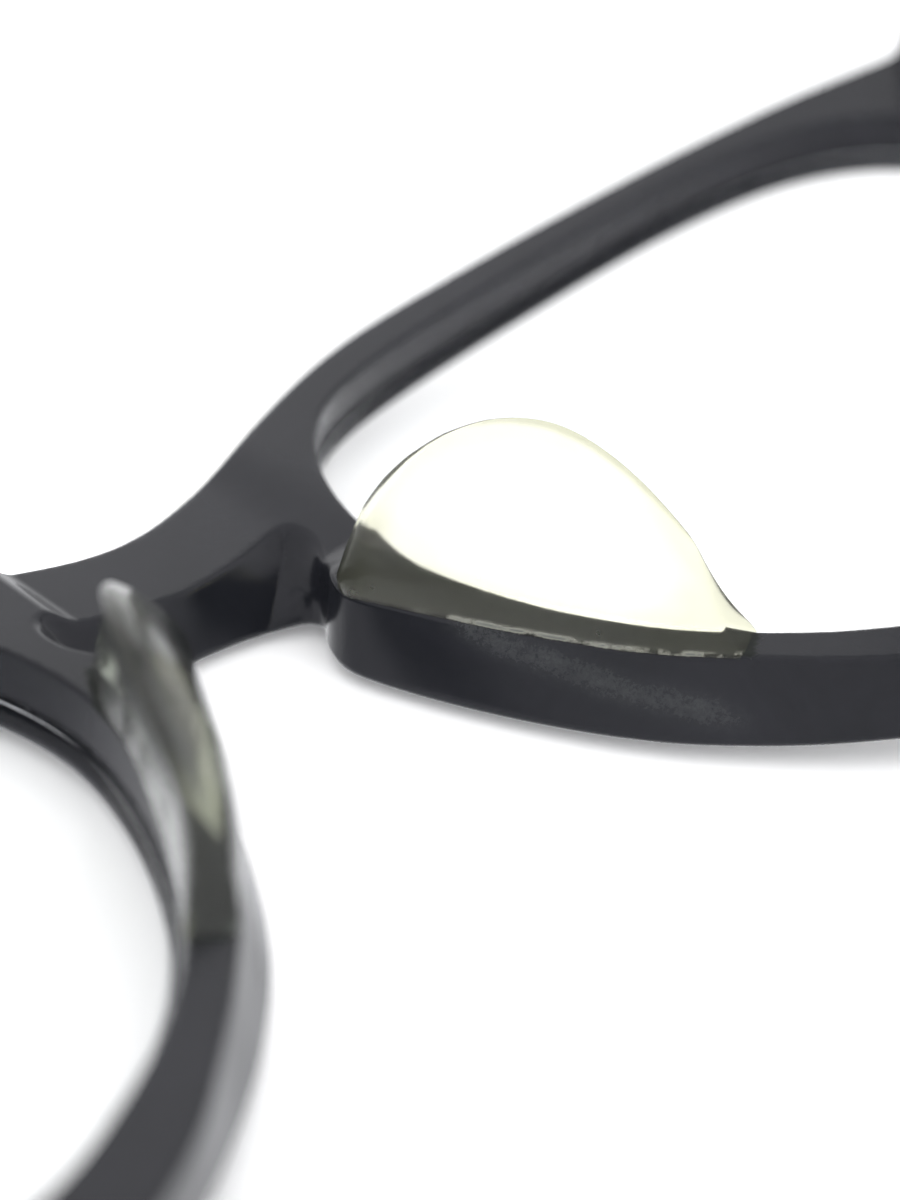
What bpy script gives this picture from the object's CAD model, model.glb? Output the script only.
"""Looks of the eyeglasses frame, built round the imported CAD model. Metres; shape functions work in millimetres."""
import math

import bpy
import numpy as np
from mathutils import Matrix, Vector


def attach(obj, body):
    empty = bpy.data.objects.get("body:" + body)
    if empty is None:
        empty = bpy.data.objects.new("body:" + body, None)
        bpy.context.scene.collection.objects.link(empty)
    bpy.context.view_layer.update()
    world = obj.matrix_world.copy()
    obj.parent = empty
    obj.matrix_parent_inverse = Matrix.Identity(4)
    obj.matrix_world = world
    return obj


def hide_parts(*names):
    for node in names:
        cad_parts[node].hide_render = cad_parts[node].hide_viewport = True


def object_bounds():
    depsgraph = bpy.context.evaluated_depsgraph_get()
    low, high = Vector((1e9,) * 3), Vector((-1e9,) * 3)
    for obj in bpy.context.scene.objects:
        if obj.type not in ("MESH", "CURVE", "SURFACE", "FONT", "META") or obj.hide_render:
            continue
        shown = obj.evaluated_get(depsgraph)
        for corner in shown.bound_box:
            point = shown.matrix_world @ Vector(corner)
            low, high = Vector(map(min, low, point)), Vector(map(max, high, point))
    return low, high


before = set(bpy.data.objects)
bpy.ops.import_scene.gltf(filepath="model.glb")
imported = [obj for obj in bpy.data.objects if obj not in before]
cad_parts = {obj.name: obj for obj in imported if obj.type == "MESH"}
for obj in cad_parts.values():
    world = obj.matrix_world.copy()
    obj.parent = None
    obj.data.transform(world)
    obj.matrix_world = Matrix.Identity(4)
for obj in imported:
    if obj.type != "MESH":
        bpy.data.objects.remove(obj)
cad_lo, cad_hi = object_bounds()
MM = 0.001

# ------------------------------------------------------------------ shape data (mm), as in the CAD
BACK_R, THICK, RECESS, LENS_CX = 240.0, 4.0, 0.65, 35.0
BUTT_Y, LUG_IN, LUG_Z0 = 13.0, 61.1, 5.0
TEMPLE_IN, TEMPLE_T, BOW_R = 66.8, 4.0, 3500.0
TILT = math.asin(LENS_CX / (BACK_R + THICK / 2))
LENS_CY = BACK_R - (BACK_R + THICK / 2) * math.cos(TILT)

OUT_F = [
    (0, 14.8), (2.5, 15.05), (5, 15.7), (7.5, 16.45), (10, 17.25), (12.5, 18.2), (15, 19.1), (18, 20.0),
    (21.5, 20.7), (25.5, 21.1), (30, 21.3), (35, 21.35), (40, 21.2), (45, 20.85), (50, 20.25), (55, 19.35),
    (60, 18.0), (64, 16.9), (67.3, 16.0), (69.6, 15.0), (70.9, 13.4), (71.3, 11.2), (71.2, 8.8), (70.4, 6.7),
    (68.5, 5.0), (66.3, 3.4), (64.8, 1.2), (63.9, -1.8), (63.0, -6.0), (61.2, -10.4), (58.2, -14.6),
    (54.3, -18.2), (49.5, -20.8), (44.0, -22.1), (38.5, -22.4), (33.0, -21.9), (28.6, -20.35), (24.5, -18.35),
    (21.05, -16.25), (17.95, -14.1), (15.15, -11.8), (12.75, -9.5), (10.65, -6.95), (8.95, -4.45),
    (7.4, -1.85), (6.1, 0.7), (5.2, 2.9), (4.95, 4.2), (5.3, 5.4), (6.0, 6.4), (6.45, 7.0), (6.3, 7.5),
    (5.6, 7.85), (4.4, 8.15), (3.0, 8.4), (1.5, 8.55), (0, 8.6),
]
OUT_B = [
    *OUT_F[:35], (33.0, -21.7), (28.8, -20.0), (25.0, -17.8), (21.8, -15.3), (18.9, -12.9), (16.3, -10.5),
    (14.0, -8.3), (11.9, -5.9), (10.2, -3.5), (8.6, -1.1), (7.1, 1.4), (5.8, 3.5), (5.2, 4.8), (5.5, 6.1),
    (6.4, 7.3), (7.6, 8.6), (8.2, 10.2), (7.8, 11.5), (6.4, 11.8), (4.3, 11.15), (2.1, 10.6), (0, 10.35),
]
OPENING = [
    (10.35, 6.0), (10.6, 9.0), (11.6, 12.0), (13.3, 14.6), (16.0, 16.8), (19.5, 18.0), (24, 18.7), (30, 19.1),
    (36, 19.2), (42, 19.05), (47.5, 18.4), (52.3, 17.1), (56.2, 14.7), (58.8, 11.2), (59.9, 6.8), (60.0, 1.8),
    (59.1, -3.6), (57.0, -9.0), (53.6, -13.3), (49.0, -16.5), (43.5, -18.2), (38.0, -18.6), (32.5, -17.6),
    (28.0, -15.7), (24.0, -13.55), (20.6, -11.2), (17.6, -8.5), (15.0, -5.4), (12.8, -1.8), (11.2, 2.0),
]
PAD_O = np.array((7.5, 1.9))
PAD_DIR = np.array((0.534, -0.845))
PAD_NRM = np.array((0.845, 0.534))
# nose pad seen from the side: distance along its root, height behind the rim
PAD_SIDE = [
    (-4.25, -1.0), (-4.3, 1.0), (-4.15, 2.4), (-3.8, 3.7), (-3.15, 4.9), (-2.2, 5.95), (-0.8, 6.95), (0.9, 7.65),
    (2.7, 7.98), (4.6, 7.88), (6.4, 7.35), (8.6, 6.3), (10.5, 5.1), (12.3, 3.8), (14.2, 2.2), (16.2, 0.4),
    (17.5, -1.0), (12, -1.6), (4, -1.6), (-2, -1.6),
]
TEMPLE_LINE = [
    (BUTT_Y + 0.12, 10.0, 4.7), (20, 10.0, 4.55), (32, 10.0, 4.2), (48, 10.0, 3.8), (66, 9.9, 3.5),
    (84, 9.5, 3.35), (96, 8.6, 3.4), (106, 6.5, 3.6), (114.5, 3.0, 3.85), (122, -1.9, 4.1), (128.5, -7.3, 4.3),
    (134.5, -12.7, 4.4), (139.8, -18.03, 4.3),
]


# ------------------------------------------------------------------ curves and distance fields
def closed_curve(points, n):
    """n points on the periodic cubic spline through the given points."""
    p = np.array(points, float)
    m = len(p)
    d = np.linalg.norm(np.roll(p, -1, 0) - p, axis=1)
    a = np.zeros((m, m))
    r = np.zeros((m, 2))
    for i in range(m):
        h0, h1 = d[i - 1], d[i]
        a[i, i - 1] += h0
        a[i, i] += 2 * (h0 + h1)
        a[i, (i + 1) % m] += h1
        r[i] = 6 * ((p[(i + 1) % m] - p[i]) / h1 - (p[i] - p[i - 1]) / h0)
    s = np.linalg.solve(a, r)
    t = np.concatenate([[0], np.cumsum(d)])
    q = np.linspace(0, t[-1], n, endpoint=False)
    k = np.clip(np.searchsorted(t, q, side="right") - 1, 0, m - 1)
    u = (q - t[k])[:, None]
    h = d[k][:, None]
    k1 = (k + 1) % m
    return (
        s[k] * (h - u) ** 3 / (6 * h) + s[k1] * u**3 / (6 * h)
        + (p[k] / h - s[k] * h / 6) * (h - u) + (p[k1] / h - s[k1] * h / 6) * u
    )


def open_curve(points, n):
    """n points on the natural cubic spline through the given points."""
    p = np.array(points, float)
    m = len(p)
    d = np.linalg.norm(np.diff(p, axis=0), axis=1)
    a = np.eye(m)
    r = np.zeros(p.shape)
    for i in range(1, m - 1):
        a[i, i - 1 : i + 2] = d[i - 1], 2 * (d[i - 1] + d[i]), d[i]
        r[i] = 6 * ((p[i + 1] - p[i]) / d[i] - (p[i] - p[i - 1]) / d[i - 1])
    s = np.linalg.solve(a, r)
    t = np.concatenate([[0], np.cumsum(d)])
    q = np.linspace(0, t[-1], n)
    k = np.clip(np.searchsorted(t, q, side="right") - 1, 0, m - 2)
    u = (q - t[k])[:, None]
    h = d[k][:, None]
    return (
        s[k] * (h - u) ** 3 / (6 * h) + s[k + 1] * u**3 / (6 * h)
        + (p[k] / h - s[k] * h / 6) * (h - u) + (p[k + 1] / h - s[k + 1] * h / 6) * u
    )


class Field:
    """Signed distance to a closed polyline, negative inside, held on a grid and read by cubic interpolation."""

    def __init__(self, poly, lo, hi, step):
        self.lo, self.step = np.array(lo, float), step
        nx, nz = (int(math.ceil((hi[i] - lo[i]) / step)) + 1 for i in range(2))
        gx = lo[0] + step * np.arange(nx)
        gz = lo[1] + step * np.arange(nz)
        pts = np.stack(np.meshgrid(gx, gz, indexing="ij"), -1).reshape(-1, 2).astype(np.float32)
        a = poly.astype(np.float32)
        b = np.roll(a, -1, 0)
        e = b - a
        ee = (e * e).sum(1) + 1e-12
        out = np.empty(len(pts), np.float32)
        for i in range(0, len(pts), 6000):
            q = pts[i : i + 6000]
            wx = q[:, None, 0] - a[None, :, 0]
            wz = q[:, None, 1] - a[None, :, 1]
            t = np.clip((wx * e[:, 0] + wz * e[:, 1]) / ee, 0, 1)
            dx, dz = wx - t * e[:, 0], wz - t * e[:, 1]
            dist = np.sqrt((dx * dx + dz * dz).min(1))
            up = (a[None, :, 1] <= q[:, None, 1]) & (b[None, :, 1] > q[:, None, 1])
            down = (a[None, :, 1] > q[:, None, 1]) & (b[None, :, 1] <= q[:, None, 1])
            side = e[:, 0] * wz - e[:, 1] * wx
            wind = (up & (side > 0)).sum(1) - (down & (side < 0)).sum(1)
            out[i : i + 6000] = np.where(wind != 0, -dist, dist)
        self.v = out.reshape(nx, nz).astype(float)

    def __call__(self, x, z):
        fx = np.clip((x - self.lo[0]) / self.step, 1.0, self.v.shape[0] - 2.001)
        fz = np.clip((z - self.lo[1]) / self.step, 1.0, self.v.shape[1] - 2.001)
        ix, iz = fx.astype(int), fz.astype(int)
        tx, tz = fx - ix, fz - iz

        def w(t):
            return (
                -0.5 * t + t * t - 0.5 * t**3, 1 - 2.5 * t * t + 1.5 * t**3,
                0.5 * t + 2 * t * t - 1.5 * t**3, -0.5 * t * t + 0.5 * t**3,
            )

        wx, wz = w(tx), w(tz)
        total = np.zeros_like(fx)
        for i in range(4):
            row = np.zeros_like(fx)
            for j in range(4):
                row += wz[j] * self.v[ix + i - 1, iz + j - 1]
            total += wx[i] * row
        return total


def both_halves(half):
    return list(half) + [(-x, z) for x, z in reversed(half[1:-1])]


def rounded(a, b, r):
    """Intersection of two solids with the edge rounded to radius r."""
    return np.minimum(np.maximum(a, b), -r) + np.hypot(np.maximum(a + r, 0), np.maximum(b + r, 0))


def smooth_min(a, b, k):
    h = np.clip(0.5 + 0.5 * (b - a) / k, 0, 1)
    return b + (a - b) * h - k * h * (1 - h)


def smooth_max(a, b, k):
    return -smooth_min(-a, -b, k)


def smoothstep(t):
    t = np.clip(t, 0, 1)
    return t * t * (3 - 2 * t)


# ------------------------------------------------------------------ surface from a solid function
def surface(func, lo, hi, step, symmetric=False, polish=3):
    """Quads on the zero level of func(x, y, z) in mm, by surface nets, then moved onto the exact level."""
    n = [int(math.ceil((hi[i] - lo[i]) / step)) + 1 for i in range(3)]
    if symmetric:
        half = int(math.ceil(hi[0] / step)) + 1
        ax = (np.arange(half) + 0.5) * step
    else:
        ax = lo[0] + step * np.arange(n[0])
    ay = lo[1] + step * np.arange(n[1])
    az = lo[2] + step * np.arange(n[2])
    val = np.empty((len(ax), len(ay), len(az)), np.float32)
    for i in range(0, len(ax), 8):
        x, y, z = np.meshgrid(ax[i : i + 8], ay, az, indexing="ij")
        val[i : i + 8] = func(x.ravel(), y.ravel(), z.ravel()).reshape(x.shape)
    if symmetric:
        val = np.concatenate([val[::-1], val], 0)
        ax = np.concatenate([-ax[::-1], ax])
    inside = val < 0
    corners = [(i, j, k) for i in (0, 1) for j in (0, 1) for k in (0, 1)]

    def sub(a, c):
        return a[c[0] : a.shape[0] - 1 + c[0], c[1] : a.shape[1] - 1 + c[1], c[2] : a.shape[2] - 1 + c[2]]

    count = sum(sub(inside, c).astype(np.int8) for c in corners)
    cells = np.argwhere((count > 0) & (count < 8))
    ident = np.full(count.shape, -1, np.int32)
    ident[tuple(cells.T)] = np.arange(len(cells))
    acc = np.zeros((len(cells), 3))
    num = np.zeros(len(cells))
    for a in corners:
        for axis in range(3):
            if a[axis]:
                continue
            b = list(a)
            b[axis] = 1
            va = val[tuple((cells + a).T)].astype(float)
            vb = val[tuple((cells + b).T)].astype(float)
            cross = (va < 0) != (vb < 0)
            t = np.where(cross, va / np.where(cross, va - vb, 1), 0)
            p = np.repeat(np.array(a, float)[None], len(cells), 0)
            p[:, axis] += t
            acc += p * cross[:, None]
            num += cross
    verts = cells + acc / num[:, None]
    base = np.array([ax[0], ay[0], az[0]])
    verts = base + verts * step
    faces = []
    for axis in range(3):
        b, c = (axis + 1) % 3, (axis + 2) % 3
        s0 = [slice(1, -1)] * 3
        s0[axis] = slice(0, -1)
        s1 = list(s0)
        s1[axis] = slice(1, None)
        i0, i1 = inside[tuple(s0)], inside[tuple(s1)]
        for flip, where in ((False, i0 & ~i1), (True, ~i0 & i1)):
            e = np.argwhere(where)
            if not len(e):
                continue
            e[:, b] += 1
            e[:, c] += 1
            q = []
            for db, dc in ((-1, -1), (0, -1), (0, 0), (-1, 0)):
                k = e.copy()
                k[:, b] += db
                k[:, c] += dc
                q.append(ident[tuple(k.T)])
            q = np.stack(q, 1)
            faces.append(q[:, ::-1] if flip else q)
    faces = np.concatenate(faces)
    for _ in range(polish):
        e = 0.03
        x, y, z = verts.T
        f = func(x, y, z)
        g = np.stack([
            func(x + e, y, z) - func(x - e, y, z), func(x, y + e, z) - func(x, y - e, z),
            func(x, y, z + e) - func(x, y, z - e),
        ], 1) / (2 * e)
        step_len = f / np.maximum((g * g).sum(1), 0.2)
        verts = verts - np.clip(step_len, -0.5 * step, 0.5 * step)[:, None] * g
    return verts, faces


def make_object(name, verts, faces, body, material, solid=None):
    mesh = bpy.data.meshes.new(name)
    mesh.vertices.add(len(verts))
    mesh.vertices.foreach_set("co", (np.asarray(verts) * MM).astype(np.float32).ravel())
    faces = np.asarray(faces, np.int32)
    k = faces.shape[1]
    mesh.loops.add(faces.size)
    mesh.loops.foreach_set("vertex_index", faces.ravel())
    mesh.polygons.add(len(faces))
    mesh.polygons.foreach_set("loop_start", np.arange(0, faces.size, k, dtype=np.int32))
    mesh.update(calc_edges=True)
    mesh.polygons.foreach_set("use_smooth", np.full(len(mesh.polygons), True))
    if solid is not None:
        e = 0.04
        x, y, z = np.asarray(verts).T
        g = np.stack([
            solid(x + e, y, z) - solid(x - e, y, z), solid(x, y + e, z) - solid(x, y - e, z),
            solid(x, y, z + e) - solid(x, y, z - e),
        ], 1)
        g /= np.maximum(np.linalg.norm(g, axis=1), 1e-6)[:, None]
        mesh.normals_split_custom_set_from_vertices(g.tolist())
    mesh.materials.append(material)
    obj = bpy.data.objects.new(name, mesh)
    bpy.context.scene.collection.objects.link(obj)
    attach(obj, body)
    return obj


def add_attribute(obj, name, values):
    attr = obj.data.attributes.new(name, "FLOAT", "POINT")
    attr.data.foreach_set("value", np.asarray(values, np.float32))


def mirrored(verts, faces):
    v = np.array(verts, float)
    v[:, 0] *= -1
    return v, np.asarray(faces)[:, ::-1]


# ------------------------------------------------------------------ materials
def material(name):
    m = bpy.data.materials.new(name)
    m.use_nodes = True
    m.node_tree.nodes.clear()
    return m, m.node_tree.nodes, m.node_tree.links


def noise(nodes, links, coord, scale, detail=4.0, rough=0.55, distortion=0.0):
    n = nodes.new("ShaderNodeTexNoise")
    n.inputs["Scale"].default_value = scale
    n.inputs["Detail"].default_value = detail
    n.inputs["Roughness"].default_value = rough
    n.inputs["Distortion"].default_value = distortion
    links.new(coord, n.inputs["Vector"])
    return n


def ramp(nodes, links, src, stops):
    r = nodes.new("ShaderNodeValToRGB")
    while len(r.color_ramp.elements) < len(stops):
        r.color_ramp.elements.new(0.5)
    for e, (pos, val) in zip(r.color_ramp.elements, stops):
        e.position = pos
        e.color = (*val, 1.0) if isinstance(val, tuple) else (val, val, val, 1.0)
    links.new(src, r.inputs["Fac"])
    return r


def math_node(nodes, links, op, a, b=None, clamp=False):
    n = nodes.new("ShaderNodeMath")
    n.operation = op
    n.use_clamp = clamp
    for i, v in enumerate((a, b)):
        if v is None:
            continue
        if isinstance(v, (int, float)):
            n.inputs[i].default_value = v
        else:
            links.new(v, n.inputs[i])
    return n.outputs[0]


def mix_color(nodes, links, fac, a, b, blend="MIX"):
    n = nodes.new("ShaderNodeMix")
    n.data_type = "RGBA"
    n.blend_type = blend
    for sock, v in (("Factor", fac), ("A", a), ("B", b)):
        s = next(i for i in n.inputs if i.name == sock and (i.type == "RGBA" or sock == "Factor" and i.type == "VALUE"))
        if isinstance(v, (int, float)):
            s.default_value = v
        elif isinstance(v, tuple):
            s.default_value = (*v, 1.0)
        else:
            links.new(v, s)
    return next(o for o in n.outputs if o.type == "RGBA")


def object_coord(nodes):
    return nodes.new("ShaderNodeTexCoord").outputs["Object"]


def streak_coord(nodes, links, coord, scale):
    m = nodes.new("ShaderNodeMapping")
    m.inputs["Scale"].default_value = scale
    links.new(coord, m.inputs["Vector"])
    return m.outputs["Vector"]


def acetate_black():
    """Polished black acetate: near-black with faint marbling, handling haze, fine scratches and a few dust specks."""
    m, nodes, links = material("acetate_black")
    out = nodes.new("ShaderNodeOutputMaterial")
    b = nodes.new("ShaderNodeBsdfPrincipled")
    links.new(b.outputs[0], out.inputs["Surface"])
    co = object_coord(nodes)
    marble = noise(nodes, links, co, 140, 5, 0.6, 0.8)
    base = mix_color(nodes, links, ramp(nodes, links, marble.outputs["Fac"], [(0.35, 0.0), (0.7, 1.0)]).outputs[0],
                     (0.0098, 0.0106, 0.0132), (0.0135, 0.0140, 0.0178))
    # fine dust specks, a few tenths of a millimetre across at most
    speck = nodes.new("ShaderNodeTexVoronoi")
    speck.inputs["Scale"].default_value = 700
    speck.inputs["Randomness"].default_value = 1.0
    links.new(co, speck.inputs["Vector"])
    dot = ramp(nodes, links, speck.outputs["Distance"], [(0.0, 1.0), (0.05, 0.85), (0.08, 0.0)])
    pick = nodes.new("ShaderNodeSeparateColor")
    links.new(speck.outputs["Color"], pick.inputs[0])
    rare = ramp(nodes, links, pick.outputs[0], [(0.955, 0.0), (0.965, 1.0)])
    dust = math_node(nodes, links, "MULTIPLY", dot.outputs[0], rare.outputs[0])
    col = mix_color(nodes, links, math_node(nodes, links, "MULTIPLY", dust, 0.22), base, (0.42, 0.43, 0.44))
    # haze left where the pads were dressed flush with the rim
    wear = nodes.new("ShaderNodeAttribute")
    wear.attribute_name = "wear"
    grain = noise(nodes, links, co, 3400, 6, 0.85, 0.2)
    cloud = noise(nodes, links, co, 260, 3, 0.6, 0.4)
    g1 = ramp(nodes, links, grain.outputs["Fac"], [(0.44, 0.3), (0.66, 1.0)])
    g2 = ramp(nodes, links, cloud.outputs["Fac"], [(0.32, 0.35), (0.66, 1.0)])
    residue = math_node(nodes, links, "MULTIPLY", g1.outputs[0], wear.outputs["Fac"])
    residue = math_node(nodes, links, "MULTIPLY", residue, g2.outputs[0], clamp=True)
    col = mix_color(nodes, links, math_node(nodes, links, "MULTIPLY", residue, 0.15), col, (0.36, 0.38, 0.37))
    # bonded land under each pad, dulled and paler than the polished face
    bond = nodes.new("ShaderNodeAttribute")
    bond.attribute_name = "bond"
    col = mix_color(nodes, links, math_node(nodes, links, "MULTIPLY", bond.outputs["Fac"], 0.9), col, (0.006, 0.008, 0.006))
    links.new(col, b.inputs["Base Color"])
    haze = noise(nodes, links, co, 55, 4, 0.6, 0.6)
    fine = noise(nodes, links, co, 1500, 3, 0.6)
    r1 = ramp(nodes, links, haze.outputs["Fac"], [(0.3, 0.10), (0.75, 0.22)])
    r2 = math_node(nodes, links, "MULTIPLY", fine.outputs["Fac"], 0.10)
    r3 = math_node(nodes, links, "ADD", r1.outputs[0], r2)
    r3 = math_node(nodes, links, "ADD", r3, math_node(nodes, links, "MULTIPLY", residue, 0.3))
    r3 = math_node(nodes, links, "ADD", r3, math_node(nodes, links, "MULTIPLY", bond.outputs["Fac"], 0.4), clamp=True)
    links.new(r3, b.inputs["Roughness"])
    b.inputs["IOR"].default_value = 1.49
    b.inputs["Specular IOR Level"].default_value = 0.22
    b.inputs["Specular Tint"].default_value = (0.97, 0.96, 1.0, 1)
    # tooling ripple, micro scratches
    ripple = noise(nodes, links, co, 190, 2, 0.5)
    scr = nodes.new("ShaderNodeTexWave")
    scr.inputs["Scale"].default_value = 260
    scr.inputs["Distortion"].default_value = 22
    scr.inputs["Detail"].default_value = 3
    scr.inputs["Detail Scale"].default_value = 1.4
    links.new(co, scr.inputs["Vector"])
    line = ramp(nodes, links, scr.outputs["Fac"], [(0.985, 0.0), (1.0, 1.0)])
    h = math_node(nodes, links, "ADD", math_node(nodes, links, "MULTIPLY", ripple.outputs["Fac"], 0.5),
                  math_node(nodes, links, "MULTIPLY", fine.outputs["Fac"], 0.05))
    h = math_node(nodes, links, "SUBTRACT", h, math_node(nodes, links, "MULTIPLY", line.outputs[0], 0.05))
    h = math_node(nodes, links, "ADD", h, math_node(nodes, links, "MULTIPLY", dust, 0.25))
    bump = nodes.new("ShaderNodeBump")
    bump.inputs["Strength"].default_value = 0.25
    bump.inputs["Distance"].default_value = 0.00006
    links.new(h, bump.inputs["Height"])
    links.new(bump.outputs[0], b.inputs["Normal"])
    return m


def acetate_clear():
    """Translucent pale-yellow acetate of the nose pads: cloudy inside, polished outside, dull at the bonded root."""
    m, nodes, links = material("acetate_pad")
    out = nodes.new("ShaderNodeOutputMaterial")
    co = object_coord(nodes)
    b = nodes.new("ShaderNodeBsdfPrincipled")
    cloud = noise(nodes, links, co, 160, 4, 0.55, 0.7)
    col = mix_color(nodes, links, ramp(nodes, links, cloud.outputs["Fac"], [(0.3, 0.0), (0.75, 1.0)]).outputs[0],
                    (0.995, 0.99, 0.955), (0.99, 0.98, 0.92))
    # the sheet's own yellow shows where the pad runs out thin and towards its crest
    fringe = nodes.new("ShaderNodeAttribute")
    fringe.attribute_name = "fringe"
    patch = ramp(nodes, links, cloud.outputs["Fac"], [(0.3, 0.75), (0.7, 1.0)])
    ff = math_node(nodes, links, "MULTIPLY", fringe.outputs["Fac"], patch.outputs[0], clamp=True)
    col = mix_color(nodes, links, ff, col, (0.795, 0.79, 0.635))
    edge = nodes.new("ShaderNodeAttribute")
    edge.attribute_name = "edge"
    col = mix_color(nodes, links, math_node(nodes, links, "MULTIPLY", edge.outputs["Fac"], 0.9), col, (0.40, 0.40, 0.27))
    # the pad on the wearer's left is the smokier of the pair
    side = nodes.new("ShaderNodeSeparateXYZ")
    links.new(co, side.inputs[0])
    smoky = math_node(nodes, links, "GREATER_THAN", side.outputs["X"], 0.0)
    veil = noise(nodes, links, streak_coord(nodes, links, co, (1.0, 1.0, 0.5)), 130, 3, 0.5, 0.6)
    tone = ramp(nodes, links, veil.outputs["Fac"], [(0.38, (0.24, 0.26, 0.26)), (0.64, (0.54, 0.58, 0.62))])
    col = mix_color(nodes, links, smoky, col, mix_color(nodes, links, 1.0, col, tone.outputs[0], "MULTIPLY"))
    glue = nodes.new("ShaderNodeAttribute")
    glue.attribute_name = "glue"
    dash = noise(nodes, links, co, 900, 3, 0.6)
    dash_r = ramp(nodes, links, dash.outputs["Fac"], [(0.42, 0.0), (0.58, 1.0)])
    gl = math_node(nodes, links, "MULTIPLY", glue.outputs["Fac"], dash_r.outputs[0], clamp=True)
    col = mix_color(nodes, links, gl, col, (0.09, 0.10, 0.095))
    links.new(col, b.inputs["Base Color"])
    links.new(math_node(nodes, links, "MULTIPLY_ADD", gl, -0.8), b.inputs["Transmission Weight"])
    tw = b.inputs["Transmission Weight"].links[0].from_node
    tw.inputs[2].default_value = 0.985
    links.new(math_node(nodes, links, "MULTIPLY_ADD", smoky, 0.22), b.inputs["IOR"])
    b.inputs["IOR"].links[0].from_node.inputs[2].default_value = 1.21
    b.inputs["Coat Weight"].default_value = 0.12
    b.inputs["Coat IOR"].default_value = 1.42
    b.inputs["Coat Roughness"].default_value = 0.08
    fine = noise(nodes, links, co, 700, 4, 0.6)
    rr = ramp(nodes, links, fine.outputs["Fac"], [(0.3, 0.16), (0.8, 0.30)])
    links.new(rr.outputs[0], b.inputs["Roughness"])
    ripple = noise(nodes, links, co, 230, 3, 0.5)
    bump = nodes.new("ShaderNodeBump")
    bump.inputs["Strength"].default_value = 0.2
    bump.inputs["Distance"].default_value = 0.00007
    links.new(ripple.outputs["Fac"], bump.inputs["Height"])
    links.new(bump.outputs[0], b.inputs["Normal"])
    links.new(b.outputs[0], out.inputs["Surface"])
    vol = nodes.new("ShaderNodeVolumeAbsorption")
    vol.inputs["Color"].default_value = (0.93, 0.91, 0.55, 1)
    vol.inputs["Density"].default_value = 34.0
    links.new(vol.outputs[0], out.inputs["Volume"])
    return m


def lens_glass():
    """Clear coated lens: lets light straight through, with a weak smudged reflection that only the camera sees."""
    m, nodes, links = material("lens_clear")
    out = nodes.new("ShaderNodeOutputMaterial")
    co = object_coord(nodes)
    tr = nodes.new("ShaderNodeBsdfTransparent")
    tint = noise(nodes, links, co, 45, 3)
    links.new(ramp(nodes, links, tint.outputs["Fac"], [(0.3, (0.996, 0.998, 0.997)), (0.7, (1.0, 1.0, 1.0))]).outputs[0],
              tr.inputs["Color"])
    gl = nodes.new("ShaderNodeBsdfGlossy")
    smudge = noise(nodes, links, co, 60, 5, 0.65, 1.0)
    links.new(ramp(nodes, links, smudge.outputs["Fac"], [(0.4, 0.02), (0.8, 0.12)]).outputs[0], gl.inputs["Roughness"])
    bump = nodes.new("ShaderNodeBump")
    bump.inputs["Strength"].default_value = 0.05
    bump.inputs["Distance"].default_value = 0.00002
    links.new(smudge.outputs["Fac"], bump.inputs["Height"])
    links.new(bump.outputs[0], gl.inputs["Normal"])
    fr = nodes.new("ShaderNodeFresnel")
    fr.inputs["IOR"].default_value = 1.4
    path = nodes.new("ShaderNodeLightPath")
    fac = math_node(nodes, links, "MULTIPLY", fr.outputs[0], 0.03)
    fac = math_node(nodes, links, "MULTIPLY", fac, path.outputs["Is Camera Ray"])
    mx = nodes.new("ShaderNodeMixShader")
    links.new(fac, mx.inputs[0])
    links.new(tr.outputs[0], mx.inputs[1])
    links.new(gl.outputs[0], mx.inputs[2])
    # ground bevel of the lens edge, frosted white
    bevel = nodes.new("ShaderNodeAttribute")
    bevel.attribute_name = "bevel"
    frost = nodes.new("ShaderNodeBsdfDiffuse")
    fn = noise(nodes, links, co, 1200, 4, 0.6)
    links.new(ramp(nodes, links, fn.outputs["Fac"], [(0.3, (0.50, 0.51, 0.53)), (0.7, (0.80, 0.81, 0.83))]).outputs[0],
              frost.inputs["Color"])
    mf = nodes.new("ShaderNodeMixShader")
    links.new(math_node(nodes, links, "MULTIPLY", bevel.outputs["Fac"], 0.8), mf.inputs[0])
    links.new(mx.outputs[0], mf.inputs[1])
    links.new(frost.outputs[0], mf.inputs[2])
    links.new(mf.outputs[0], out.inputs["Surface"])
    return m


def metal(name, tint, rough, grain_axis, edge_dark=0.35):
    """Nickel-silver hinge parts: directional grain, tarnish in patches, softened edges."""
    m, nodes, links = material(name)
    out = nodes.new("ShaderNodeOutputMaterial")
    b = nodes.new("ShaderNodeBsdfPrincipled")
    links.new(b.outputs[0], out.inputs["Surface"])
    co = object_coord(nodes)
    b.inputs["Metallic"].default_value = 1.0
    grain = noise(nodes, links, streak_coord(nodes, links, co, grain_axis), 2500, 5, 0.7)
    tarnish = noise(nodes, links, co, 500, 4, 0.6, 1.0)
    dark = tuple(c * edge_dark for c in tint)
    col = mix_color(nodes, links, ramp(nodes, links, tarnish.outputs["Fac"], [(0.45, 0.0), (0.8, 0.6)]).outputs[0], tint, dark)
    links.new(col, b.inputs["Base Color"])
    r = ramp(nodes, links, grain.outputs["Fac"], [(0.3, rough * 0.7), (0.7, rough * 1.4)])
    links.new(r.outputs[0], b.inputs["Roughness"])
    bev = nodes.new("ShaderNodeBevel")
    bev.samples = 4
    bev.inputs["Radius"].default_value = 0.00012
    bump = nodes.new("ShaderNodeBump")
    bump.inputs["Strength"].default_value = 0.3
    bump.inputs["Distance"].default_value = 0.00003
    links.new(grain.outputs["Fac"], bump.inputs["Height"])
    links.new(bev.outputs[0], bump.inputs["Normal"])
    links.new(bump.outputs[0], b.inputs["Normal"])
    return m


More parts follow.
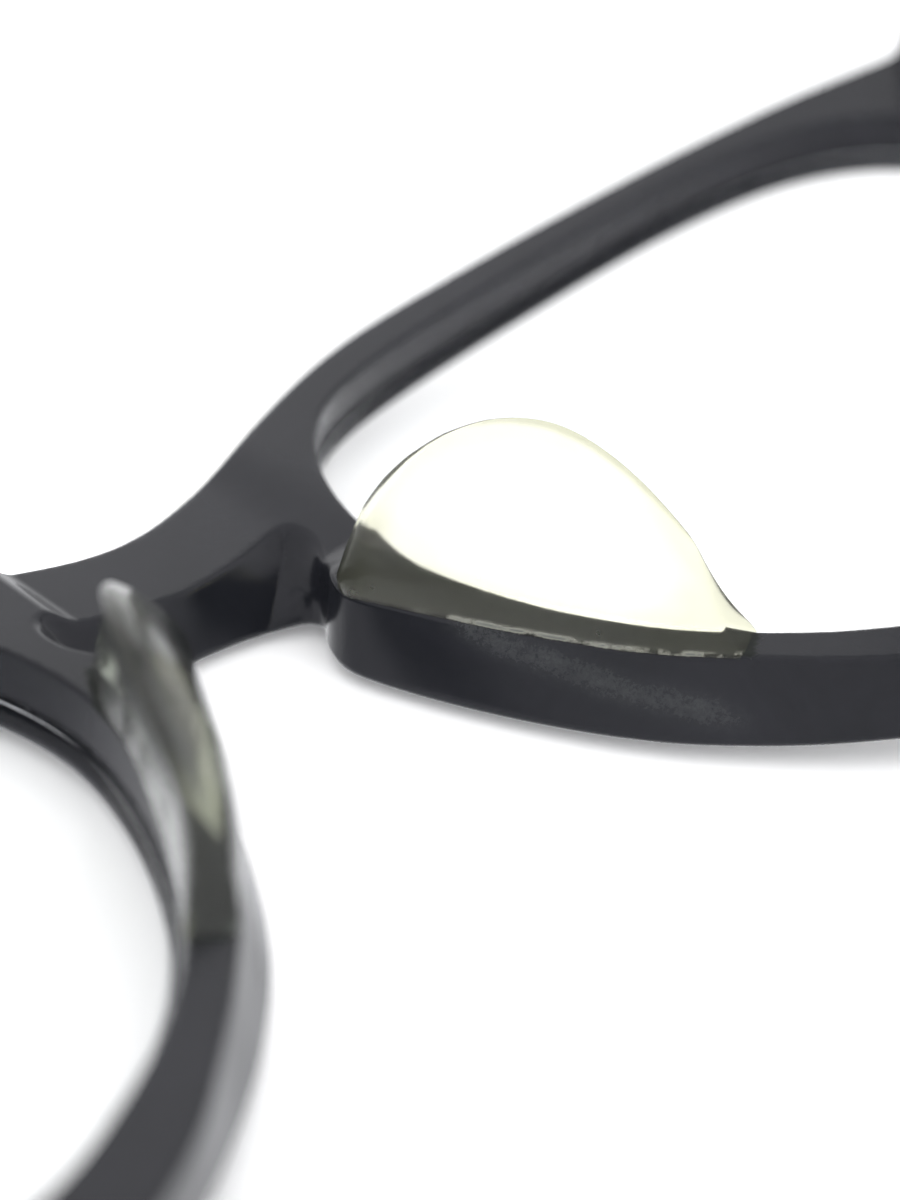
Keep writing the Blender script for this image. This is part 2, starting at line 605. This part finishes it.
MAT_BLACK = acetate_black()
MAT_PAD = acetate_clear()
MAT_LENS = lens_glass()
MAT_HINGE = metal("hinge_nickel_silver", (0.66, 0.65, 0.61), 0.3, (1.0, 1.0, 0.06))
MAT_SCREW = metal("screw_steel", (0.7, 0.7, 0.69), 0.22, (0.2, 1.0, 1.0))
MAT_RIVET = metal("rivet_nickel", (0.74, 0.73, 0.7), 0.18, (1.0, 0.2, 1.0))
MAT_CORE = metal("core_wire_metal", (0.6, 0.58, 0.52), 0.35, (1.0, 0.05, 1.0))

# ------------------------------------------------------------------ front
curve_f = closed_curve(both_halves(OUT_F), 1100)
curve_b = closed_curve(both_halves(OUT_B), 1100)
DF = Field(curve_f, (-1.5, -27), (76, 26), 0.16)
DB = Field(curve_b, (-1.5, -27), (76, 26), 0.16)
opening_local = [((x - LENS_CX) / math.cos(TILT), z) for x, z in OPENING]
curve_o = closed_curve(opening_local, 640)
DO = Field(curve_o, (-32, -26), (32, 26), 0.16)


LENS_DEPTH = 2.8      # lens edge, measured from the rim's back face


def along_pad(ax, z):
    return (ax - PAD_O[0]) * PAD_DIR[0] + (z - PAD_O[1]) * PAD_DIR[1]


def across_pad(ax, z):
    return (ax - PAD_O[0]) * PAD_NRM[0] + (z - PAD_O[1]) * PAD_NRM[1]


def front_solid(x, y, z):
    ax = np.abs(x)
    rho = np.hypot(ax, y - BACK_R)
    t = np.clip((BACK_R + THICK - rho) / THICK, -0.4, 1.3)
    dout = DF(ax, z) * (1 - t) + DB(ax, z) * t
    # bridge set forwards of the rims; the step is crisper on the wearer's left
    wide = np.where(x < 0, 5.6, 1.7)
    rec = RECESS * smoothstep((np.where(x < 0, 11.4, 7.1) - ax) / wide) * smoothstep((z - 6.4) / 1.8)
    dfront = rho - (BACK_R + THICK)
    dback = (BACK_R + rec) - rho
    u = (ax - LENS_CX) * math.cos(TILT) + (y - LENS_CY) * math.sin(TILT)
    do = DO(u, z)
    d = np.maximum(rounded(dout, dfront, 0.55), rounded(dout, dback, 0.24))
    d = np.maximum(d, np.maximum(rounded(-do, dfront, 0.5), rounded(-do, dback, 0.22)))
    # end-piece lug
    lug = rounded(dout, LUG_IN - ax, 0.7)
    lug = rounded(lug, y - BUTT_Y, 0.28)
    lug = rounded(lug, LUG_Z0 - z, 0.8)
    lug = np.maximum(lug, ax - (TEMPLE_IN + TEMPLE_T + 0.12))
    lug = np.maximum(lug, dfront + 1.0)
    d = smooth_min(d, lug, 0.55)
    # lens groove
    w = rho - (BACK_R + LENS_DEPTH)
    g = do - 0.85 * (1 - np.abs(w) / 0.55)
    d = np.maximum(d, -g * 0.6)
    # pocket for the hinge leaf
    pocket = np.maximum(np.maximum(np.abs(ax - 64.25) - 2.25, np.abs(z - 10.0) - 3.5), 12.2 - y)
    return np.maximum(d, -pocket)


fine_step = 0.2
v, f = surface(front_solid, (-72.4, -4.7, -23.2), (72.4, 13.9, 22.1), fine_step, symmetric=True, polish=6)
front = make_object("acetate_front", v, f, "frame_front", MAT_BLACK, solid=front_solid)
# dull haze left on the nasal walls by dressing the pads flush, and the bonded land under each pad
xx, yy, zz = v[:, 0], v[:, 1], v[:, 2]
depth = np.hypot(xx, yy - BACK_R) - BACK_R
s_al, n_al = along_pad(np.abs(xx), zz), across_pad(np.abs(xx), zz)
band = np.exp(-(((depth - 0.2 - 0.175 * (s_al - 1.45)) / 0.55) ** 2)) * smoothstep((s_al - 0.2) / 3) * smoothstep((16.5 - s_al) / 3)
wall = smoothstep((1.0 - np.abs(depth / THICK * DF(np.abs(xx), zz) + (1 - depth / THICK) * DB(np.abs(xx), zz))) / 0.6)
add_attribute(front, "wear", np.clip(band * wall * (s_al > -6) * (s_al < 18), 0, 1))
bond = (depth < 0.3) & (s_al > -4.2) & (s_al < 15.2) & (n_al > -2.0) & (n_al < 3.9) & (DB(np.abs(xx), zz) < -0.08)
add_attribute(front, "bond", bond.astype(float))
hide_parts("front")

# ------------------------------------------------------------------ nose pads
curve_h = closed_curve(PAD_SIDE, 400)
DH = Field(curve_h, (-8, -4), (22, 12), 0.1)
LEAN = 0.575
CREST = ([-4.6, -4.15, -3.8, -3.15, -2.2, -0.8, 0.9, 2.7, 4.6, 6.4, 8.6, 10.5, 12.3, 14.2, 16.2],
         [1.6, 2.6, 3.9, 5.0, 6.0, 6.95, 7.65, 7.98, 7.88, 7.35, 6.3, 5.1, 3.8, 2.3, 1.4])


def pad_solid(x, y, z):
    rho = np.hypot(x, y - BACK_R)
    h = BACK_R - rho
    hh = np.clip(h, 0, 10)
    s, n = along_pad(x, z), across_pad(x, z)
    dh = DH(s, h)
    # distance in from the rim's nasal edge; straight across the throat at the top end
    blend = smoothstep((s + 2.6) / 2.2)
    inward = -DB(x, z) * blend + (n + 0.55) * (1 - blend)
    top = np.interp(s, *CREST)
    u = np.clip(hh / top, 0, 1)
    belly = np.interp(s, [-4.5, -3, 0, 6, 10, 13, 16], [0.9, 1.15, 1.3, 1.3, 0.9, 0.5, 0.2])
    nose = LEAN * hh - 4 * belly * u * (1 - u)
    slope_n = LEAN - 4 * belly / top * (1 - 2 * u)
    crest_n = LEAN * top - 0.6 + 0.85
    root_n = np.interp(s, [-4.5, -1.5, 1.0, 3.5, 8, 12, 15.5], [3.7, 3.65, 3.05, 2.72, 2.5, 2.62, 3.1])
    lens = root_n + (crest_n - root_n) * u**2.2
    slope_l = (crest_n - root_n) * 2.2 * u**1.2 / top
    a = (nose - inward) / np.sqrt(1 + slope_n**2)
    b = (n - lens) / np.sqrt(1 + slope_l**2)
    r = np.interp(s, [-4.5, -3.2, -1.5, 1, 4, 12, 16], [1.25, 1.2, 0.85, 0.5, 0.36, 0.3, 0.2])
    d = rounded(smooth_max(a, b, 0.25), dh, r)
    # cut low end
    cut = (s - 14.63) * 0.772 - (n - 0.69) * 0.1235 + h * 0.623
    d = smooth_max(d, cut, 0.16)
    return np.maximum(d, -h - 0.12)


pad_step = 0.1
v, f = surface(pad_solid, (2.4, -0.6, -13.5), (21.0, 9.6, 9.5), pad_step)
height = BACK_R - np.hypot(v[:, 0], v[:, 1] - BACK_R)
s_al = along_pad(v[:, 0], v[:, 2])
glue = np.exp(-(((height - 0.06) / 0.13) ** 2)) * smoothstep((0.6 + DB(v[:, 0], v[:, 2])) / 0.4) * smoothstep((s_al + 1) / 4)
left_pad = make_object("left_nose_pad_shell", v, f, "frame_front", MAT_PAD, solid=pad_solid)
from_edge = -DH(s_al, height)
fringe = np.clip(0.9 * smoothstep((2.3 - from_edge) / 2.0) + 0.6 * smoothstep((s_al - 8.5) / 4.0) + 0.6 * smoothstep((2.6 - height) / 1.6), 0, 1)
edge = smoothstep((0.16 - from_edge) / 0.14) * smoothstep((height - 0.3) / 1.0)
for key, values in (("glue", glue), ("fringe", fringe), ("edge", edge)):
    add_attribute(left_pad, key, values)
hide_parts("left_nose_pad")
v, f = mirrored(v, f)
right_pad = make_object("right_nose_pad_shell", v, f, "frame_front", MAT_PAD, solid=lambda x, y, z: pad_solid(-x, y, z))
for key, values in (("glue", glue), ("fringe", fringe), ("edge", edge)):
    add_attribute(right_pad, key, values)
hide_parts("right_nose_pad")


# ------------------------------------------------------------------ lenses
def lens_mesh():
    ring = closed_curve(opening_local, 240)
    e = np.roll(ring, -1, 0) - np.roll(ring, 1, 0)
    nrm = np.stack([e[:, 1], -e[:, 0]], 1) / np.linalg.norm(e, axis=1)[:, None]
    if ((ring * nrm).sum(1)).mean() < 0:
        nrm = -nrm
    verts, rings = [], []

    def add_ring(uv, w):
        x = uv[:, 0] * math.cos(TILT) + LENS_CX
        for _ in range(6):
            y = BACK_R - np.sqrt((BACK_R + LENS_DEPTH + w) ** 2 - x * x)
            u = (x - LENS_CX) * math.cos(TILT) + (y - LENS_CY) * math.sin(TILT)
            x = x + (uv[:, 0] - u)
        rings.append(len(verts) * 240)
        verts.append(np.stack([x, y, uv[:, 1]], 1))

    centre = ring.mean(0)
    shrink = [0.02, 0.15, 0.3, 0.45, 0.6, 0.75, 0.87, 0.95]
    for k in shrink:
        add_ring(centre + (ring - centre) * k, 0.55 + 0.5 * (1 - k * k))
    add_ring(ring - nrm * 0.10, 0.52)
    add_ring(ring - nrm * 0.03, 0.42)
    add_ring(ring + nrm * 0.62, 0.04)
    add_ring(ring + nrm * 0.62, -0.04)
    add_ring(ring - nrm * 0.02, -0.26)
    add_ring(ring - nrm * 0.30, -0.55)
    for k in reversed(shrink):
        add_ring(centre + (ring - centre) * k, -0.6 + 0.5 * (1 - k * k) - 0.35 * (1 - k))
    v = np.concatenate(verts)
    faces = []
    i = np.arange(240)
    j = (i + 1) % 240
    for a, b in zip(rings, rings[1:]):
        faces.append(np.stack([a + i, a + j, b + j, b + i], 1))
    tip0, tip1 = len(v), len(v) + 1
    v = np.concatenate([v, [verts[0].mean(0)], [verts[-1].mean(0)]])
    caps = np.stack([np.full(240, tip0), rings[0] + j, rings[0] + i], 1)
    caps2 = np.stack([np.full(240, tip1), rings[-1] + i, rings[-1] + j], 1)
    return v, np.concatenate(faces), np.concatenate([caps, caps2])


def make_lens(name, v, quads, tris, node):
    mesh = bpy.data.meshes.new(name)
    mesh.from_pydata((v * MM).tolist(), [], quads.tolist() + tris.tolist())
    mesh.validate()
    edge = mesh.attributes.new("bevel", "FLOAT", "FACE")
    k = 240 * 12
    edge.data.foreach_set("value", [1.0 if k <= i < k + 240 else 0.0 for i in range(len(mesh.polygons))])
    mesh.polygons.foreach_set("use_smooth", np.full(len(mesh.polygons), True))
    mesh.materials.append(MAT_LENS)
    obj = bpy.data.objects.new(name, mesh)
    bpy.context.scene.collection.objects.link(obj)
    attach(obj, "frame_front")
    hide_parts(node)
    return obj


lv, lq, lt = lens_mesh()
make_lens("left_lens_clear", lv, lq, lt, "left_lens")
rv = lv.copy()
rv[:, 0] *= -1
make_lens("right_lens_clear", rv, lq[:, ::-1], lt[:, ::-1], "right_lens")


# ------------------------------------------------------------------ temples
def temple_outline():
    line = open_curve([(y, z) for y, z, _ in TEMPLE_LINE], 200)
    arc = np.concatenate([[0], np.cumsum(np.linalg.norm(np.diff(line, axis=0), axis=1))])
    ctrl = np.array(TEMPLE_LINE)
    ctrl_arc = [arc[np.argmin(np.linalg.norm(line - c[:2], axis=1))] for c in ctrl]
    half = open_curve(list(zip(ctrl_arc, ctrl[:, 2])), 400)
    hw = np.interp(arc, half[:, 0], half[:, 1])
    tang = np.gradient(line, axis=0)
    tang /= np.linalg.norm(tang, axis=1)[:, None]
    tang[0] = (1, 0)
    nrm = np.stack([-tang[:, 1], tang[:, 0]], 1)
    upper = line + nrm * hw[:, None]
    lower = line - nrm * hw[:, None]
    end, t_end, h_end = line[-1], tang[-1], hw[-1]
    n_end = nrm[-1]
    angles = np.linspace(0, math.pi, 40)[1:-1]
    tip = [end + n_end * h_end * math.cos(a) + t_end * h_end * math.sin(a) for a in angles]
    return np.concatenate([upper, tip, lower[::-1]])


DT = Field(temple_outline(), (11, -26), (147, 18), 0.25)


def temple_solid(x, y, z):
    run = y - BUTT_Y
    inner = TEMPLE_IN - run**2 / (2 * BOW_R)
    outer = TEMPLE_IN + TEMPLE_T - run**2 / (2 * BOW_R) - 0.6 * np.clip(run / 137.0, 0, 1.1) ** 1.5
    mid, half = (inner + outer) / 2, (outer - inner) / 2
    dt = DT(y, z)
    side_out = x - mid - half
    side_in = mid - half - x
    soft = smoothstep((y - BUTT_Y - 0.5) / 5.0)
    d = np.maximum(rounded(dt, side_out, 0.35 + 0.95 * soft), rounded(dt, side_in, 0.25 + 0.75 * soft))
    pocket = np.maximum(np.maximum(np.abs(y - 19.5) - 5.5, np.abs(z - 10) - 3.5), x - 67.75)
    return np.maximum(d, -pocket)


temple_step = 0.3
v, f = surface(temple_solid, (63.5, 12.4, -23.4), (71.8, 145.4, 15.6), temple_step)
left_temple = make_object("left_temple_acetate", v, f, "left_temple_arm", MAT_BLACK, solid=temple_solid)
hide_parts("left_temple")
v, f = mirrored(v, f)
right_temple = make_object("right_temple_acetate", v, f, "right_temple_arm", MAT_BLACK, solid=lambda x, y, z: temple_solid(-x, y, z))
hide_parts("right_temple")

# ------------------------------------------------------------------ CAD nodes that stay
for node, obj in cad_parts.items():
    if obj.hide_render:
        continue
    mat = (MAT_SCREW if "screw" in node else MAT_RIVET if "rivet" in node else MAT_CORE if "core" in node else MAT_HINGE)
    obj.data.materials.clear()
    obj.data.materials.append(mat)
    obj.data.polygons.foreach_set("use_smooth", np.full(len(obj.data.polygons), True))
    obj.data.set_sharp_from_angle(angle=math.radians(35))

# ------------------------------------------------------------------ stage, light, camera
FLOOR_Z = cad_lo.z - 0.00005


def plane(name, corners, mat):
    mesh = bpy.data.meshes.new(name)
    mesh.from_pydata(corners, [], [(0, 1, 2, 3)])
    mesh.materials.append(mat)
    obj = bpy.data.objects.new(name, mesh)
    bpy.context.scene.collection.objects.link(obj)
    return obj


def floor_material(name, from_below):
    """White sheet. The floor is seen only from above, and the sheet under the lens side only from below."""
    m, nodes, links = material(name)
    out = nodes.new("ShaderNodeOutputMaterial")
    dif = nodes.new("ShaderNodeBsdfDiffuse")
    co = object_coord(nodes)
    n = noise(nodes, links, co, 30, 3)
    col = ramp(nodes, links, n.outputs["Fac"], [(0.3, (0.955, 0.955, 0.96)), (0.7, (0.975, 0.975, 0.975))])
    links.new(col.outputs[0], dif.inputs["Color"])
    geo = nodes.new("ShaderNodeNewGeometry")
    sep = nodes.new("ShaderNodeSeparateXYZ")
    links.new(geo.outputs["Incoming"], sep.inputs[0])
    if from_below:
        a = math_node(nodes, links, "LESS_THAN", sep.outputs["Z"], -0.25)
        b = math_node(nodes, links, "GREATER_THAN", sep.outputs["Y"], 0.0)
        seen = math_node(nodes, links, "MULTIPLY", a, b)
    else:
        seen = math_node(nodes, links, "GREATER_THAN", sep.outputs["Z"], 0.0)
    clear = nodes.new("ShaderNodeBsdfTransparent")
    mx = nodes.new("ShaderNodeMixShader")
    links.new(seen, mx.inputs[0])
    links.new(clear.outputs[0], mx.inputs[1])
    glow = nodes.new("ShaderNodeEmission")
    glow.inputs["Strength"].default_value = 0.14
    both = nodes.new("ShaderNodeAddShader")
    links.new(dif.outputs[0], both.inputs[0])
    links.new(glow.outputs[0], both.inputs[1])
    links.new(both.outputs[0], mx.inputs[2])
    links.new(mx.outputs[0], out.inputs["Surface"])
    return m


S = 2.5
floor = plane("floor", [(-S, -S, FLOOR_Z), (S, -S, FLOOR_Z), (S, S, FLOOR_Z), (-S, S, FLOOR_Z)], floor_material("floor_white", False))
sheet_y = -0.0044
sheet = plane("sheet", [(-S, sheet_y, -S), (S, sheet_y, -S), (S, sheet_y, S), (-S, sheet_y, S)], floor_material("sheet_white", True))
sheet.visible_shadow = False
sheet.visible_diffuse = False
sheet.visible_glossy = False

world = bpy.data.worlds.new("studio")
bpy.context.scene.world = world
world.use_nodes = True
wn, wl = world.node_tree.nodes, world.node_tree.links
wn.clear()
wout = wn.new("ShaderNodeOutputWorld")
bg = wn.new("ShaderNodeBackground")
wc = wn.new("ShaderNodeTexCoord")
wsep = wn.new("ShaderNodeSeparateXYZ")
wl.new(wc.outputs["Generated"], wsep.inputs[0])
wr = wn.new("ShaderNodeValToRGB")
wr.color_ramp.elements[0].position = 0.0
wr.color_ramp.elements[0].color = (0.92, 0.93, 0.96, 1)
wr.color_ramp.elements[1].position = 1.0
wr.color_ramp.elements[1].color = (1.0, 1.0, 1.0, 1)
wm = wn.new("ShaderNodeMath")
wm.operation = "MULTIPLY_ADD"
wm.inputs[1].default_value = 0.5
wm.inputs[2].default_value = 0.5
wl.new(wsep.outputs["Y"], wm.inputs[0])
wl.new(wm.outputs[0], wr.inputs["Fac"])
wl.new(wr.outputs[0], bg.inputs["Color"])
bg.inputs["Strength"].default_value = 1.55
wl.new(bg.outputs[0], wout.inputs["Surface"])


def area(name, location, target, size, power):
    light = bpy.data.lights.new(name, "AREA")
    light.shape = "DISK"
    light.size = size
    light.energy = power
    obj = bpy.data.objects.new(name, light)
    bpy.context.scene.collection.objects.link(obj)
    obj.location = location
    obj.rotation_mode = "QUATERNION"
    obj.rotation_quaternion = (Vector(target) - Vector(location)).to_track_quat("-Z", "Y")
    return obj


area("key", (-0.35, 0.5, 0.75), (0, 0.02, 0), 0.5, 0.6)
area("fill", (0.5, -0.7, 0.5), (0, 0.02, 0), 0.6, 0.4)

cam_data = bpy.data.cameras.new("camera")
camera = bpy.data.objects.new("camera", cam_data)
bpy.context.scene.collection.objects.link(camera)
right = Vector((-0.68400, 0.12313, -0.71902))
down = Vector((0.33233, -0.82484, -0.45738))
fwd = Vector((-0.64939, -0.55180, 0.52327))
camera.matrix_world = Matrix((
    (right.x, -down.x, -fwd.x, 0.09641), (right.y, -down.y, -fwd.y, 0.08945), (right.z, -down.z, -fwd.z, -0.08317),
    (0, 0, 0, 1),
))
cam_data.sensor_width = 36.0
cam_data.lens = 3506.4 / 1200 * 36.0
cam_data.clip_start, cam_data.clip_end = 0.002, 20
focus = bpy.data.objects.new("focus", None)
bpy.context.scene.collection.objects.link(focus)
focus.location = (-0.0105, 0.002, -0.001)
cam_data.dof.use_dof = True
cam_data.dof.focus_object = focus
cam_data.dof.aperture_fstop = 19.0
bpy.context.scene.camera = camera
bpy.context.scene.view_settings.view_transform = "Standard"
